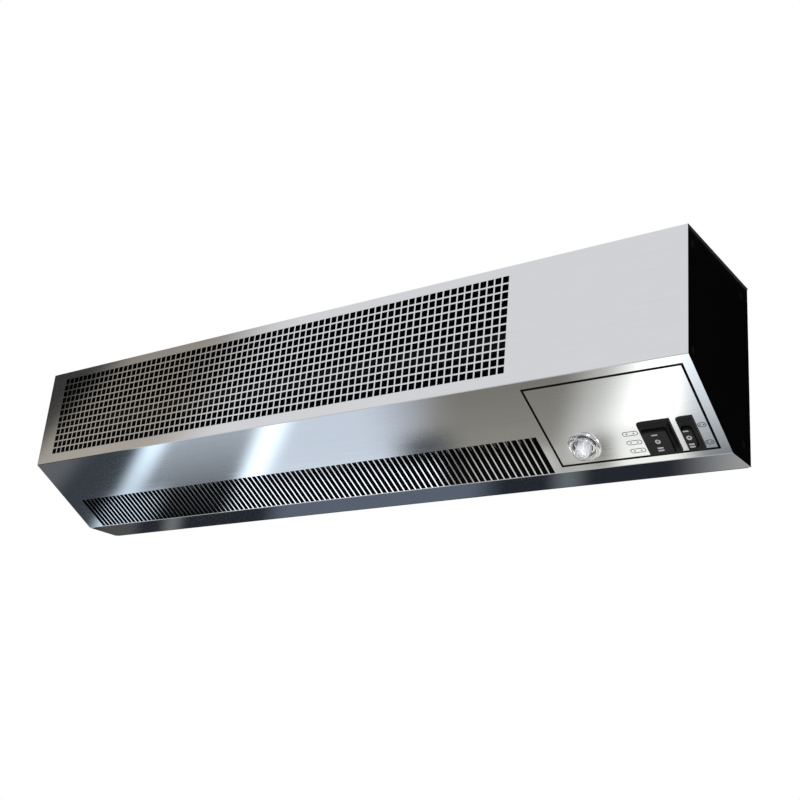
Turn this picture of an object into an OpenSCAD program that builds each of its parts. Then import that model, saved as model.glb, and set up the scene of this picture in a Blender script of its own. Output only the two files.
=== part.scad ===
// Wall-mounted warm-air curtain with a square-punched intake face, a slotted outlet in its
// sloped lower face, a tangential fan, a finned heater and a small control panel.
// X runs along the casing, +Y points to the wall and +Z is up. The origin is the middle of
// the four wall fixing holes, in the plane of the wall.

/* [Casing] */
// Length of the casing from end to end
length = 720; // [600:10:900]
// Depth from the wall to the upright front face
depth = 118.9; // [116:0.5:135]
// Height of the upright front face
face_height = 101.7; // [98:0.5:115]
// How far back the sloped lower face runs
slope_run = 81.1; // [79:0.5:86]
// How far down the sloped lower face drops
slope_drop = 47.4; // [45:0.5:52]
// Thickness of the stainless sheet
sheet = 1; // [0.8:0.1:1.2]
// Thickness of the moulded end caps
cap_thickness = 2.2; // [1.6:0.1:3]
// How far each end cap sits inside the edges of the sheet
cap_inset = 0.5; // [0:0.1:1.5]
// Size of the small flat at each fold of the sheet
fold_flat = 0.4; // [0.2:0.1:0.5]
// Depth of the rim inside each end cap
cap_rim = 8; // [5:0.5:9]

/* [Wall fixing] */
// Distance between the fixing holes along the casing
fixing_length = 560; // [440:10:570]
// Distance between the fixing holes in height
fixing_height = 80; // [60:1:90]
// Diameter of the fixing holes
fixing_hole = 5.5; // [4:0.1:7]

/* [Grilles] */
// Plain sheet left of both grilles
grille_margin = 21.8; // [20:0.1:30]
// Plain length at the right, in front of the electrical compartment
controls_length = 145.8; // [145.8:0.1:160]
// Distance from one intake hole to the next, both ways
hole_pitch = 7.06; // [6.9:0.02:9]
// Width of the metal between intake holes
hole_bar = 1.36; // [1:0.02:2]
// Least plain sheet above and below the intake holes
face_margin = 8; // [6:0.5:12]
// How far the punched field sits above the middle of the front face
holes_raised = 0.6; // [0:0.1:1.5]
// Distance from one outlet slot to the next
slot_pitch = 6.01; // [5.9:0.01:8]
// Width of the metal between outlet slots
slot_bar = 1.3; // [1:0.05:2]
// How far down the slope the outlet slots start
slot_from = 54.6; // [53:0.1:58]
// Metal left between the slots and the lower fold
slot_end_bar = 0.6; // [0.6:0.1:1.5]
// How far the first slot is to the right of the first column of holes
slot_inset = 0.7; // [0:0.1:2]

/* [Fan] */
// Radius of the impeller
fan_radius = 33; // [30:0.5:33.5]
// Number of blades
blade_count = 30; // [20:1:34]
// Radial width of the blade ring
blade_ring = 9; // [7:0.5:10]
// Thickness of a blade
blade_thickness = 0.8; // [0.6:0.1:1]
// Radius to which the blades are curved
blade_curve = 9; // [8.5:0.5:12]
// Number of lengths that the rings divide the impeller into
fan_sections = 7; // [4:1:9]
// How far the fan axis is from the wall
fan_to_wall = 56.9; // [54.9:0.5:58.9]
// How far the fan axis is below the top
fan_drop = 60; // [58:0.5:61]
// Running clearance of the shafts in their bushes
shaft_clearance = 0.04; // [0.02:0.01:0.08]

/* [Heater] */
// Distance between the two legs of the heating element
leg_spacing = 23; // [21:0.5:24]
// Radius of the element's tube
element_radius = 4.2; // [3.5:0.1:4.5]
// Radius of the fins
fin_radius = 9.6; // [8:0.1:9.8]
// Distance from fin to fin
fin_pitch = 12; // [8:0.5:20]

/* [Control panel] */
// Width of the window that the control panel fills
window_width = 130.8; // [126:0.2:131]
// Height of the window, measured down the slope
window_height = 81.2; // [76:0.1:81.5]
// Sheet left between the window and the right-hand end
window_right = 6.8; // [6.5:0.1:9]
// Share of the spare sheet above and below the window that is below it
window_place = 0.44; // [0.4:0.005:0.47]
// Width of the black seal round the panel
seal_width = 2; // [0.8:0.1:2.2]
// Angle that each rocker tips either way
rocker_tilt = 10; // [6:0.5:11]

/* [Hidden] */
$fn = 64;
height = face_height + slope_drop;
slope_length = norm([slope_run, slope_drop]);
slope_angle = atan2(slope_drop, slope_run);
top_z = height / 2;
half_length = length / 2;
seat = 0.1;
cap_outer = half_length - cap_inset;
cap_inner = cap_outer - cap_thickness;

field = length - grille_margin - controls_length;
field_left = grille_margin - half_length;
hole_columns = floor((field + hole_bar) / hole_pitch);
hole_rows = floor((face_height - 2 * face_margin + hole_bar) / hole_pitch);
hole_size = hole_pitch - hole_bar;
rows_height = hole_rows * hole_pitch - hole_bar;
rows_bottom = (face_height - rows_height) / 2 + holes_raised;
slot_count = floor((field - slot_inset + slot_bar) / slot_pitch);
slot_size = slot_pitch - slot_bar;
slot_length = slope_length - slot_end_bar - slot_from;

fan_setback = depth - fan_to_wall;
bearing_x = field_left - 3;
partition_x = field_left + field + 3;
plate = 1;
wheel_left = bearing_x + 7;
wheel_right = partition_x - 5;
wheel_length = wheel_right - wheel_left;
ring_thickness = 2;
stub_radius = 4;
bush_radius = 6.5;
rubber_neck = 12;
shaft_radius = 3;
hub_radius = 9;
hub_end = partition_x + 8;

scroll_radius = fan_radius + 8;
scroll_thickness = 1;
scroll_u = fan_setback + 3;
scroll_w = -fan_drop - 2;
scroll_start = 100;
scroll_foot = [slope_run + 2.4, -height + sheet + 0.3];
foot_run = scroll_foot - [scroll_u, scroll_w];
scroll_end = atan2(foot_run[1], foot_run[0]) + acos(scroll_radius / norm(foot_run));
nose_radius = 2.5;
nose_gap = 3.5;
nose_angle = 235;
nose_reach = fan_radius + nose_gap + nose_radius;
nose = [fan_setback, -fan_drop] + nose_reach * [cos(nose_angle), sin(nose_angle)];

tongue_wall = 1.2;
foot_u = slot_from * cos(slope_angle) - tongue_wall;
foot_rise = (sheet + 2 * seat) / cos(slope_angle) - (foot_u - tongue_wall / 2) * tan(slope_angle);
tongue_foot = [foot_u, foot_rise - face_height];

leg_w = -fan_drop - fan_radius - 10 - fin_radius;
scroll_out = [cos(scroll_end), sin(scroll_end)];
scroll_edge = [scroll_u, scroll_w] + scroll_radius * scroll_out;
duct_front = place_between(nose, tongue_foot, leg_w) + tongue_wall / 2;
duct_back = place_between(scroll_edge, scroll_foot, leg_w);
leg_front = (duct_front + duct_back - leg_spacing) / 2;
bend_x = bearing_x + 4 + leg_spacing / 2 + element_radius;
terminal_x = partition_x + 19;
sleeve_gap = 1.6;
bush_collar = element_radius + 2 * sleeve_gap;

motor_x = partition_x + 20;
core_length = 22;
core_half_width = 30;
core_bottom = -26;
core_slot = [34, 10];
core_slot_bottom = 20;
core_limb = 10;
rotor_radius = 16;
motor_bolt = 24;
motor_bolt_radius = 2;
bracket_thickness = 3;
boss_radius = 8;
boss_length = 8;

flange_depth = 14;
hook_height = 13;
lip_height = 9;
cover_screw_radius = 1.6;
cap_screw_radius = 1.7;
cap_screw_head = 3.2;

window_low = window_place * (slope_length - window_height);
window_x = half_length - window_right - window_width / 2;
window_s = slope_length - window_low - window_height / 2;
seal_lip = 2;
seal_lip_thickness = 0.8;
switch_low = 2.3;
bezel_height = 31;
flange = 1.3;
bezel_top = 4;
main_bezel = 25.5;
main_opening = [19.6, 24];
main_body = [21.4, 27.4];
main_cut = 0.8;
main_inset = 28.5;
main_x = window_x + window_width / 2 - main_inset - main_bezel / 2;
small_bezel = 12.6;
small_opening = [8.4, 21.5];
small_body = [11.4, 27.4];
small_spare = [0, 0.7];
small_cut = 2;
small_inset = 10.6;
small_x = window_x + window_width / 2 - small_inset - small_bezel / 2;
switch_s = slope_length - window_low - switch_low - bezel_height / 2;
switch_depth = 17;
pivot_depth = -2;
pin_radius = 1.4;
rocker_gap = 0.45;
end_clearance = 0.2;
rocker_lean = 0.2;
rocker_block = 5;
well_depth = rocker_block + main_opening[1] / 2 * sin(rocker_tilt) + 0.8;
valley = 5.4;
rocker_rise = 1.1;
mark_height = 0.15;
mark_place = 7;
mark_shift = 0.5;
mark_thick = 1.2;
mark_ring = [2.1, 0.9];
main_mark = 4.6;
small_mark = 4.1;

sensor_inset = 27.6;
sensor_low = 18;
sensor_x = window_x - window_width / 2 + sensor_inset;
sensor_s = slope_length - window_low - sensor_low;
collar_rim = 13.3;
collar_wall = 1.5;
collar_top = 3.6;
dome_centre = 2.3;
dome_radius = 9.8;
lens_radius = 6.3;
lens_wall = 0.7;
lens_centre = 3;
holder_depth = 13;
holder_wall = 3;

gland_inset = 40;
gland_x = half_length - gland_inset;
gland_y = -22;
gland_thread = 8;
gland_hex = 12;
gland_flange = 4.5;
cable_radius = 4.5;

board_size = [58, 58];
board_inset = 13;
board_x = half_length - board_size[0] - board_inset;
board_thickness = 1.6;
board_w = -64;
standoff = 8;
standoff_pin = 1.6;

terminal_ways = 5;
terminal_pitch = 10;
terminal_size = [terminal_ways * terminal_pitch, 20, 18];
terminal_inset = 18;
terminal_left = half_length - terminal_size[0] - terminal_inset;
terminal_w = -52;

// The casing's side outline, set in from its outer faces by t and from the wall by rear.
// u is measured back from the front face and w down from the top.
function outline(t, rear = 0) = [
  [t, -t],
  [t, -face_height + t * (slope_length - slope_drop) / slope_run],
  [slope_run + t * (slope_length - slope_run) / slope_drop, -height + t],
  [depth - rear, -height + t],
  [depth - rear, -t]
];

// How far back the straight line from a to b is at the depth w below the top.
function place_between(a, b, w) = a[0] + (b[0] - a[0]) * (w - a[1]) / (b[1] - a[1]);

// Extrudes a side outline along the casing from x0.
module along(x0, run) {
  translate([x0, -depth, top_z]) rotate([90, 0, 90]) linear_extrude(run) children();
}

// Puts an upright cylinder shape on a line along X through a point of the side outline.
module on_axis(x0, u, w) {
  translate([x0, u - depth, top_z + w]) rotate([90, 0, 90]) children();
}

// Puts a shape on the sloped face: X along the casing, Y up the slope, Z out of the face.
module on_slope(x, s) {
  translate([x, -depth, top_z - face_height]) rotate([180 - slope_angle, 0, 0])
    translate([0, -s, 0]) children();
}

module ring(r, bore, h) {
  difference() {
    cylinder(r = r, h = h);
    translate([0, 0, -1]) cylinder(r = bore, h = h + 2);
  }
}

// Cuts the outer edge at a corner of the outline back to a small flat. The two sides leave
// the corner in the directions a and b.
module fold_cut(corner, a, b) {
  start = corner + fold_flat * a;
  end = corner + fold_flat * b;
  along(-half_length - 1, length + 2) polygon([start, start - b - a, end - b - a, end]);
}

function slope_way(side) = side * [cos(slope_angle), -sin(slope_angle)];

// Upright front face: a plain sheet punched with square holes.
module intake_panel() {
  color("silver") difference() {
    translate([-half_length, sheet - depth, top_z - face_height]) rotate([90, 0, 0])
      linear_extrude(sheet) difference() {
        square([length, face_height]);
        for (column = [0:hole_columns - 1], row = [0:hole_rows - 1])
          translate([grille_margin + column * hole_pitch, rows_bottom + row * hole_pitch])
            square(hole_size);
      }
    fold_cut([0, 0], [1, 0], [0, -1]);
    fold_cut(outline(0)[1], [0, 1], slope_way(1));
  }
}

// Sloped face with the outlet slots and the window, folded back into the underside strip
// and up into a lip behind it.
module outlet_panel() {
  lip_back = depth - sheet - seat;
  lip_end = cap_inner - cap_rim;
  color("silver") difference() {
    union() {
      along(-half_length, length) polygon([
        outline(0)[1], outline(0)[2], outline(sheet)[2], outline(sheet)[1], [sheet, -face_height]
      ]);
      along(-half_length, length) polygon([
        outline(0)[2], [lip_back, -height], [lip_back, -height + sheet], outline(sheet)[2]
      ]);
      along(-lip_end, 2 * lip_end) translate([lip_back - sheet, -height + sheet])
        square([sheet, lip_height]);
    }
    fold_cut(outline(0)[1], [0, 1], slope_way(1));
    fold_cut(outline(0)[2], slope_way(-1), [1, 0]);
    for (i = [0:slot_count - 1])
      on_slope(field_left + slot_inset + i * slot_pitch, slot_from + slot_length)
        translate([0, 0, -2 * sheet]) cube([slot_size, slot_length, 3 * sheet]);
    on_slope(window_x, window_s)
      cube([window_width, window_height, 4 * sheet], center = true);
  }
}

module top_panel() {
  color("silver") difference() {
    along(-half_length, length) translate([sheet, -sheet]) square([depth - sheet, sheet]);
    translate([gland_x, gland_y, top_z - 2]) cylinder(r = gland_thread + seat, h = 4);
    cover_screw_places() translate([0, 0, -3]) cylinder(r = cover_screw_radius + 0.5, h = 6);
  }
}

module cover_screw_places() {
  for (x = [-0.42, 0, 0.36]) translate([x * length, -7, top_z]) children();
}

// Back of the casing: a tray whose top flange takes the cover screws and whose hooks hold
// the lip of the outlet panel.
module rear_chassis() {
  width = 2 * (cap_inner - seat);
  hook_width = 20;
  hook_drop = 9;
  hook_u = depth - 3.4 * sheet;
  color("dimgray") difference() {
    union() {
      along(-width / 2, width)
        translate([depth - sheet, -height]) square([sheet, height - sheet]);
      along(-width / 2 + cap_rim, width - 2 * cap_rim)
        translate([depth - flange_depth, -2 * sheet]) square([flange_depth, sheet]);
      for (x = [-0.4, -0.1, 0.22]) along(x * length, hook_width) {
        translate([hook_u, -height + hook_height]) square([2.4 * sheet, sheet]);
        translate([hook_u, -height + hook_height - hook_drop]) square([sheet, hook_drop + sheet]);
      }
    }
    for (x = [-1, 1], z = [-1, 1])
      translate([x * fixing_length / 2, -sheet - 1, z * fixing_height / 2]) rotate([-90, 0, 0])
        cylinder(d = fixing_hole, h = sheet + 2);
    cover_screw_places() translate([0, 0, -3]) cylinder(r = cover_screw_radius, h = 6);
    translate([gland_x, gland_y, top_z - 4]) cylinder(r = gland_hex + 2, h = 6);
  }
}

// End cap: a plate inside the sheet's edges, with a rim that the panels rest on.
module end_cap() {
  rim = 1.5;
  difference() {
    union() {
      along(-cap_outer, cap_thickness) polygon(outline(sheet));
      along(-cap_inner - seat, cap_rim) difference() {
        polygon(outline(sheet, sheet + seat));
        polygon(outline(sheet + rim, sheet + seat + rim));
      }
      cap_screw_places(cap_thickness) cylinder(r = 4, h = cap_rim);
    }
    cap_screw_places(-1) cylinder(r = cap_screw_radius, h = cap_rim + cap_thickness + 2);
    cap_screw_places(-1) cylinder(r = cap_screw_head + 0.2, h = 2);
  }
}

module cap_screw_places(h) {
  low = -face_height + 6;
  back = depth - 14;
  for (place = [[10, -12], [10, low], [back, -12], [back, -height + 14]])
    on_axis(-cap_outer + h, place[0], place[1]) children();
}

module left_end_cap() {
  color("black") end_cap();
}

// The right-hand cap's rim stops short of the seal behind the sloped face.
module right_end_cap() {
  room = 2 * (seal_lip + 0.3);
  color("black") difference() {
    mirror([1, 0, 0]) end_cap();
    on_slope(window_x, window_s)
      cube([window_width + room, window_height + room, 8 * sheet], center = true);
  }
}

module cap_screws() {
  color("black") for (side = [0, 1]) mirror([side, 0, 0]) cap_screw_places(0) {
    translate([0, 0, 0.2]) cylinder(r = cap_screw_head, h = 0.8);
    translate([0, 0, 0.9]) cylinder(r = cap_screw_radius, h = 8);
  }
}

module cover_screws() {
  head = 1.6;
  color("silver") cover_screw_places() difference() {
    union() {
      cylinder(r = 3.6, h = head);
      translate([0, 0, -6]) cylinder(r = cover_screw_radius, h = 6.2);
    }
    for (a = [0, 90]) rotate([0, 0, a]) translate([-2, -0.4, head / 2]) cube([4, 0.8, 2]);
  }
}

// A plate across the inside of the casing, notched round the flange of the rear tray.
module cross_plate(x0) {
  along(x0, plate) difference() {
    polygon(outline(sheet + seat, sheet + 2.6));
    translate([depth - flange_depth - 0.3, -2 * sheet - 0.3]) square([flange_depth, 3 * sheet]);
  }
}

// Plate that closes the air chamber at the left and carries the bearing.
module bearing_plate() {
  color("dimgray") difference() {
    cross_plate(bearing_x);
    on_axis(bearing_x - 1, fan_setback, -fan_drop) cylinder(r = rubber_neck, h = plate + 2);
  }
}

// Plate between the air chamber and the electrical compartment, which carries the motor.
module motor_partition() {
  color("dimgray") difference() {
    cross_plate(partition_x);
    on_axis(partition_x - 1, fan_setback, -fan_drop) cylinder(r = hub_radius + 4, h = plate + 2);
    leg_places(partition_x - 1) cylinder(r = element_radius + sleeve_gap, h = plate + 2);
  }
}

module leg_places(x0) {
  for (i = [0, 1]) on_axis(x0, leg_front + i * leg_spacing, leg_w) children();
}

// Rear guide of the air: an arc that opens away from the impeller, then a straight run to
// the back edge of the outlet slots.
module scroll_wall() {
  run = partition_x - bearing_x - plate;
  step = 0.1;
  out = scroll_out;
  down = [out[1], -out[0]];
  start = scroll_edge + step * out - down;
  color("#202224") union() {
    on_axis(bearing_x + plate, scroll_u, scroll_w)
      rotate_extrude(angle = scroll_start - scroll_end, start = scroll_end)
        translate([scroll_radius, 0]) square([scroll_thickness, run]);
    along(bearing_x + plate, run) polygon([
      start, start + (scroll_thickness - 2 * step) * out,
      scroll_foot + (scroll_thickness - step) * out, scroll_foot + step * out
    ]);
  }
}

// Front guide: a round nose close to the impeller, a shelf under the intake and a wall down
// to the front edge of the outlet slots.
module vortex_tongue() {
  run = partition_x - bearing_x - plate;
  shelf_w = -face_height + 5;
  color("#202224") union() {
    on_axis(bearing_x + plate, nose[0], nose[1]) cylinder(r = nose_radius, h = run);
    along(bearing_x + plate, run) polygon([
      [sheet + seat, shelf_w], nose + [0, -nose_radius + 0.4], nose + [0, nose_radius - 1],
      [sheet + seat, shelf_w + tongue_wall]
    ]);
    along(bearing_x + plate, run) polygon([
      nose - [nose_radius - 1, 0], nose + [nose_radius - 0.6, 0],
      tongue_foot + [tongue_wall / 2, 0], tongue_foot - [tongue_wall / 2, 0]
    ]);
  }
}

module bearing_rubber() {
  color("#181818") on_axis(bearing_x - 3, fan_setback, -fan_drop) difference() {
    cylinder(r = rubber_neck + 2, h = 7);
    translate([0, 0, -1]) cylinder(r = bush_radius, h = 9);
    translate([0, 0, 3]) ring(rubber_neck + 3, rubber_neck, plate);
  }
}

module bearing_bush() {
  color("goldenrod") on_axis(bearing_x - 4, fan_setback, -fan_drop)
    ring(bush_radius, stub_radius + shaft_clearance, 9);
}

// Tangential impeller: forward-curved blades the full length, held by rings, with a solid
// disc at each end.
module impeller() {
  blade_angle = 62;
  step = (wheel_length - ring_thickness) / fan_sections;
  inner = fan_radius - blade_ring;
  color("#303336") on_axis(wheel_left, fan_setback, -fan_drop) union() {
    for (i = [0:blade_count - 1]) rotate([0, 0, i * 360 / blade_count])
      translate([inner + 0.6, -blade_curve * 0.78, 0])
        rotate_extrude(angle = blade_angle, start = 28) translate([blade_curve - blade_thickness, 0])
          square([blade_thickness, wheel_length]);
    for (k = [1:fan_sections - 1]) translate([0, 0, k * step])
      ring(fan_radius, inner - 1, ring_thickness);
    for (k = [0, fan_sections]) translate([0, 0, k * step])
      cylinder(r = fan_radius, h = ring_thickness);
  }
}

module stub_shaft() {
  color("silver") on_axis(bearing_x - 6, fan_setback, -fan_drop)
    cylinder(r = stub_radius, h = wheel_left - bearing_x + 6);
}

module drive_hub() {
  color("#303336") on_axis(wheel_right, fan_setback, -fan_drop) difference() {
    union() {
      cylinder(r = hub_radius, h = hub_end - wheel_right);
      cylinder(r = hub_radius + 5, h = 2);
    }
    translate([0, 0, 3]) cylinder(r = shaft_radius, h = hub_end - wheel_right);
  }
}

module motor_shaft() {
  color("silver") on_axis(wheel_right + 3, fan_setback, -fan_drop)
    cylinder(r = shaft_radius, h = motor_x + core_length + 12 - wheel_right - 3);
}

module motor_rotor() {
  color("gray") on_axis(motor_x, fan_setback, -fan_drop) ring(rotor_radius, shaft_radius, core_length);
}

// Stack of laminations: a ring round the rotor and a limb above it for the coil.
module motor_core() {
  core_height = core_slot_bottom + core_slot[1] + core_limb - core_bottom;
  color("#55585b") on_axis(motor_x, fan_setback, -fan_drop) difference() {
    translate([-core_half_width, core_bottom, 0])
      cube([2 * core_half_width, core_height, core_length]);
    translate([0, 0, -1]) cylinder(r = rotor_radius + 0.4, h = core_length + 2);
    translate([-core_slot[0] / 2, core_slot_bottom, -1])
      cube([core_slot[0], core_slot[1], core_length + 2]);
    for (side = [-1, 1]) translate([side * motor_bolt, 0, -1])
      cylinder(r = motor_bolt_radius + 0.2, h = core_length + 2);
  }
}

// Winding round the upper limb of the stack.
module motor_coil() {
  thick = 9;
  width = core_slot[0] - 4;
  low = core_slot_bottom + 0.5;
  limb = core_slot_bottom + core_slot[1] - seat;
  color("#b8862a") on_axis(motor_x, fan_setback, -fan_drop) difference() {
    translate([-width / 2, low, -thick])
      cube([width, core_slot[1] + core_limb + thick, core_length + 2 * thick]);
    translate([-width / 2 - 1, limb, -seat])
      cube([width + 2, core_limb + 2 * seat, core_length + 2 * seat]);
  }
}

// Puts a shape on each of the two long bolts of the motor.
module motor_bolt_places(x0) {
  for (side = [-1, 1]) on_axis(x0, fan_setback + side * motor_bolt, -fan_drop) children();
}

// Die-cast bridge that holds one of the motor's bushes.
module bracket(x0, boss_from) {
  half_width = 7;
  difference() {
    union() {
      on_axis(x0, fan_setback, -fan_drop) translate([-motor_bolt, -half_width, 0])
        cube([2 * motor_bolt, 2 * half_width, bracket_thickness]);
      motor_bolt_places(x0) cylinder(r = half_width, h = bracket_thickness);
      on_axis(boss_from, fan_setback, -fan_drop) cylinder(r = boss_radius, h = boss_length);
    }
    on_axis(boss_from - 1, fan_setback, -fan_drop)
      cylinder(r = shaft_radius + shaft_clearance, h = boss_length + bracket_thickness + 2);
    motor_bolt_places(x0 - 1) cylinder(r = motor_bolt_radius, h = bracket_thickness + 2);
  }
}

module inner_bracket() {
  color("lightgray") bracket(motor_x - bracket_thickness, motor_x - boss_length - 1);
}

module outer_bracket() {
  color("lightgray") bracket(motor_x + core_length, motor_x + core_length + 1);
}

// Two posts with the long bolts that clamp the motor to the partition.
module motor_posts() {
  post = motor_x - bracket_thickness - partition_x - plate;
  bolt = post + 2 * bracket_thickness + core_length;
  color("silver") motor_bolt_places(partition_x + plate) {
    cylinder(r = 4.5, h = post);
    cylinder(r = motor_bolt_radius, h = bolt);
    translate([0, 0, bolt]) cylinder(r = 3.9, h = 3, $fn = 6);
  }
}

// Heating element: a tube bent into a U, both ends through the partition.
module heating_element() {
  color("#6b6e70") union() {
    leg_places(bend_x) cylinder(r = element_radius, h = terminal_x - bend_x);
    translate([bend_x, leg_front + leg_spacing / 2 - depth, top_z + leg_w])
      rotate_extrude(angle = 180, start = 90) translate([leg_spacing / 2, 0])
        circle(r = element_radius);
    leg_places(terminal_x - 2) cylinder(r = 1.6, h = 10);
  }
}

// Fins and the sleeve between them, as one turned shape on a leg of the element.
module fins(leg) {
  first = bend_x + 12;
  count = floor((partition_x - 8 - first) / fin_pitch);
  sleeve = element_radius + 0.6;
  fin = 0.8;
  color("#7c7f82") on_axis(first, leg_front + leg * leg_spacing, leg_w)
    rotate_extrude() polygon([
      [element_radius, 0],
      for (i = [0:count - 1]) each [
        [fin_radius, i * fin_pitch], [fin_radius, i * fin_pitch + fin],
        [sleeve, i * fin_pitch + fin], [sleeve, (i + 1) * fin_pitch]
      ],
      [fin_radius, count * fin_pitch], [fin_radius, count * fin_pitch + fin],
      [element_radius, count * fin_pitch + fin]
    ]);
}

module front_fins() {
  fins(0);
}

module rear_fins() {
  fins(1);
}

// Bracket at the bend of the element, with a foot on the bearing plate.
module heater_bracket() {
  foot = bearing_x + plate;
  reach = bend_x + 5 - foot;
  border = 7;
  arm = 10;
  color("#6b6e70") difference() {
    union() {
      on_axis(foot + reach, leg_front, leg_w) translate([-border, -border, 0])
        cube([leg_spacing + 2 * border, border + arm + 1, plate]);
      on_axis(foot, leg_front, leg_w) translate([-border + 2, arm, 0])
        cube([leg_spacing + 2 * border - 4, 1, reach + plate]);
    }
    leg_places(foot + reach - 1) cylinder(r = element_radius, h = plate + 2);
  }
}

module heater_bushes() {
  color("ivory") leg_places(partition_x - 2) difference() {
    cylinder(r = bush_collar, h = plate + 6);
    translate([0, 0, -1]) cylinder(r = element_radius, h = plate + 8);
    translate([0, 0, 2]) ring(bush_collar + 1, element_radius + sleeve_gap, plate);
  }
}

// Round cut-out on an upright plate, behind the rear leg of the element.
module thermal_cutout() {
  radius = 8;
  ear = 11;
  tab = [6, 0.8, 9];
  place = leg_front + leg_spacing + bush_collar + radius + 1.5;
  color("#2b2b2b") on_axis(partition_x + plate, place, leg_w + ear / 2) union() {
    cylinder(r = radius, h = 6);
    translate([-radius / 2, -ear, 0]) cube([radius, 2 * ear, 1]);
    for (side = [-1, 1]) translate([-tab[0] / 2, side * 4 - tab[1] / 2, 5]) cube(tab);
  }
}

// Row of screw terminals for the supply.
module terminal_block() {
  rib = 1.2;
  screw_depth = 8;
  color("ivory") translate([terminal_left, -sheet - terminal_size[1], top_z + terminal_w])
    difference() {
      union() {
        cube(terminal_size);
        for (i = [0:terminal_ways]) translate([i * (terminal_size[0] - rib) / terminal_ways, -2, 0])
          cube([rib, 3, terminal_size[2]]);
      }
      for (i = [0:terminal_ways - 1]) translate([(i + 0.5) * terminal_pitch, 0, 0]) {
        translate([0, -1, terminal_size[2] / 2]) rotate([-90, 0, 0])
          cylinder(r = 2.8, h = screw_depth);
        translate([0, 13, -1]) cylinder(r = 1.8, h = terminal_size[2] + 2);
      }
    }
}

module terminal_screws() {
  screw = 4;
  color("silver") for (i = [0:terminal_ways - 1])
    translate([
      terminal_left + (i + 0.5) * terminal_pitch, 7 - sheet - terminal_size[1],
      top_z + terminal_w + terminal_size[2] / 2
    ]) rotate([90, 0, 0]) difference() {
      cylinder(r = 2.6, h = screw);
      translate([-3, -0.4, screw - 1]) cube([6, 0.8, 2]);
    }
}

module board_corners() {
  edge = 4;
  for (x = [edge, board_size[0] - edge], z = [edge, board_size[1] - edge])
    translate([board_x + x, -sheet, top_z + board_w - z]) rotate([90, 0, 0]) children();
}

// Puts a shape on the lower left corner of the control board's front.
module on_board() {
  translate([board_x, -sheet - standoff - board_thickness, top_z + board_w - board_size[1]])
    children();
}

module control_board() {
  color("#2f5d3a") difference() {
    on_board() cube([board_size[0], board_thickness, board_size[1]]);
    board_corners() cylinder(r = standoff_pin, h = 30);
  }
}

module board_standoffs() {
  front = standoff + board_thickness;
  color("ivory") board_corners() {
    cylinder(r = 3, h = standoff);
    cylinder(r = standoff_pin, h = front);
    translate([0, 0, front]) cylinder(r = standoff_pin + 1, h = 1.6);
  }
}

// Two relays, a smoothing capacitor and a plug connector.
module board_parts() {
  relay = [15, 14, 18];
  relay_place = [8, 34];
  relay_step = 20;
  capacitor_place = [16, 17];
  plug = [20, 9, 8];
  plug_place = [30, 12];
  color("#26292c") on_board() {
    for (i = [0, 1])
      translate([relay_place[0] + i * relay_step, -relay[1], relay_place[1]]) cube(relay);
    translate([capacitor_place[0], 0, capacitor_place[1]]) rotate([90, 0, 0])
      cylinder(r = 6, h = 13);
    translate([plug_place[0], -plug[1], plug_place[1]]) cube(plug);
  }
}

// Stainless plate that fills the window and carries the switches and the sensor.
module control_panel() {
  color("silver") difference() {
    on_slope(window_x, window_s) translate([0, 0, -sheet / 2])
      cube([window_width - 2 * seal_width, window_height - 2 * seal_width, sheet], center = true);
    on_slope(main_x, switch_s)
      cube([main_body[0] + 2 * seat, main_body[1] + 2 * seat, 4 * sheet], center = true);
    on_slope(small_x, switch_s)
      cube([small_body[0] + 2 * seat, small_body[1] + 2 * seat, 4 * sheet], center = true);
    on_slope(sensor_x, sensor_s) translate([0, 0, -2 * sheet])
      cylinder(r = lens_radius + 0.5, h = 4 * sheet);
  }
}

// Black seal: a line flush with the sheet, and a wider lip behind the sheet and the panel.
module panel_seal() {
  outer = [window_width, window_height] + 2 * [seal_lip, seal_lip];
  color("black") on_slope(window_x, window_s) union() {
    frame([window_width, window_height], seal_width, -sheet, sheet);
    frame(outer, seal_width + 2 * seal_lip, -sheet - seal_lip_thickness, seal_lip_thickness);
  }
}

module frame(size, width, z0, h) {
  translate([0, 0, z0]) linear_extrude(h) difference() {
    square(size, center = true);
    square(size - 2 * [width, width], center = true);
  }
}

// A block bevelled above its flange on all four sides.
module bevelled(width, run) {
  bevel = 1.5;
  intersection() {
    rotate([90, 0, 90]) linear_extrude(width, center = true) bezel_side(run, bevel);
    rotate([90, 0, 0]) linear_extrude(run, center = true) bezel_side(width, bevel);
  }
}

module bezel_side(size, bevel) {
  polygon([
    [-size / 2, 0], [size / 2, 0], [size / 2, flange],
    [size / 2 - bevel, bezel_top], [bevel - size / 2, bezel_top], [-size / 2, flange]
  ]);
}

// A rectangle with its corners cut off.
module cut_corners(size, cut) {
  x = size[0] / 2;
  y = size[1] / 2;
  polygon([
    [-x + cut, -y], [x - cut, -y], [x, -y + cut], [x, y - cut],
    [x - cut, y], [-x + cut, y], [-x, y - cut], [-x, -y + cut]
  ]);
}

// Housing of a rocker switch: a bevelled bezel on the panel and a hollow body behind it.
module switch_housing(bezel, body, opening, cut) {
  difference() {
    union() {
      bevelled(bezel, bezel_height);
      translate([0, 0, -switch_depth / 2]) cube([body[0], body[1], switch_depth], center = true);
    }
    translate([0, 0, -well_depth]) linear_extrude(well_depth + bezel_top + 1) cut_corners(opening, cut);
    translate([-body[0], 0, pivot_depth]) rotate([0, 90, 0])
      cylinder(r = pin_radius + shaft_clearance, h = 2 * body[0]);
  }
}

// Half the length of a rocker whose ends just clear its opening when it is tipped.
function rocker_half(run) = (run / 2 - end_clearance) * cos(rocker_tilt)
  - (bezel_top - pivot_depth) * sin(rocker_tilt);

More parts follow.
